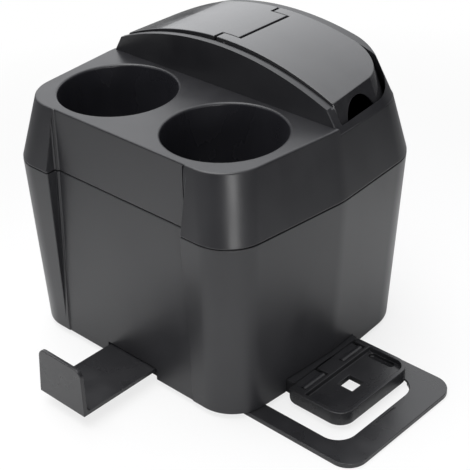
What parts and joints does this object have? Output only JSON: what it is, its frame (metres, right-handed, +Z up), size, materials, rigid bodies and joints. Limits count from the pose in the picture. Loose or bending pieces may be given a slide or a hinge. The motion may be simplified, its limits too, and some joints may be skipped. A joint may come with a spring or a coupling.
{
  "type": "car trash bin",
  "caption": "Car trash bin with a tapered body, cup wells in the top housing, butterfly lids under a low dome, and a sliding seat hook, mat loop and folding clip tray at its base.",
  "frame": {"origin": "The middle of the bin body's footprint, on the floor that the bin stands on.", "axes": "+X runs along the row of cup wells towards the clip tray, +Y from the cup wells to the lids, +Z up."},
  "size_m": [0.2928, 0.2491, 0.2068],
  "materials": {
    "body_plastic": "fine satin",
    "lid_plastic": "gloss",
    "slide_plastic": "satin",
    "steel": "plain",
    "foot_rubber": "matt"
  },
  "bodies": {
    "bin": {"bin_body": "body_plastic", "cup_housing": "body_plastic", "lid_frame": "body_plastic", "hinge_rod": "steel", "base_cover": "body_plastic", "tray_pin_front": "steel", "tray_pin_rear": "steel", "foot_1": "foot_rubber", "foot_2": "foot_rubber", "foot_3": "foot_rubber", "foot_4": "foot_rubber", "base_screw_1": "steel", "base_screw_2": "steel", "base_screw_3": "steel", "base_screw_4": "steel"},
    "left_lid": {"left_lid": "lid_plastic"},
    "right_lid": {"right_lid": "lid_plastic"},
    "hook": {"hook_strap": "slide_plastic"},
    "loop": {"mat_plate": "slide_plastic"},
    "tray": {"clip_tray": "slide_plastic"}
  },
  "joints": [
    {"name": "left_lid_hinge", "type": "hinge", "parent": "bin", "child": "left_lid", "pos_m": [0, 0.0477, 0.2025], "axis": [0, 1, 0], "range_deg": [0, 60]},
    {"name": "right_lid_hinge", "type": "hinge", "parent": "bin", "child": "right_lid", "pos_m": [0, 0.0477, 0.2025], "axis": [0, -1, 0], "range_deg": [0, 60]},
    {"name": "hook_slide", "type": "slide", "parent": "bin", "child": "hook", "axis": [0, 1, 0], "range_m": [0, 0.055]},
    {"name": "loop_slide", "type": "slide", "parent": "bin", "child": "loop", "axis": [-1, 0, 0], "range_m": [0, 0.07]},
    {"name": "tray_hinge", "type": "hinge", "parent": "bin", "child": "tray", "pos_m": [0.1145, -0.013, 0.0105], "axis": [0, -1, 0], "range_deg": [0, 88]}
  ]
}
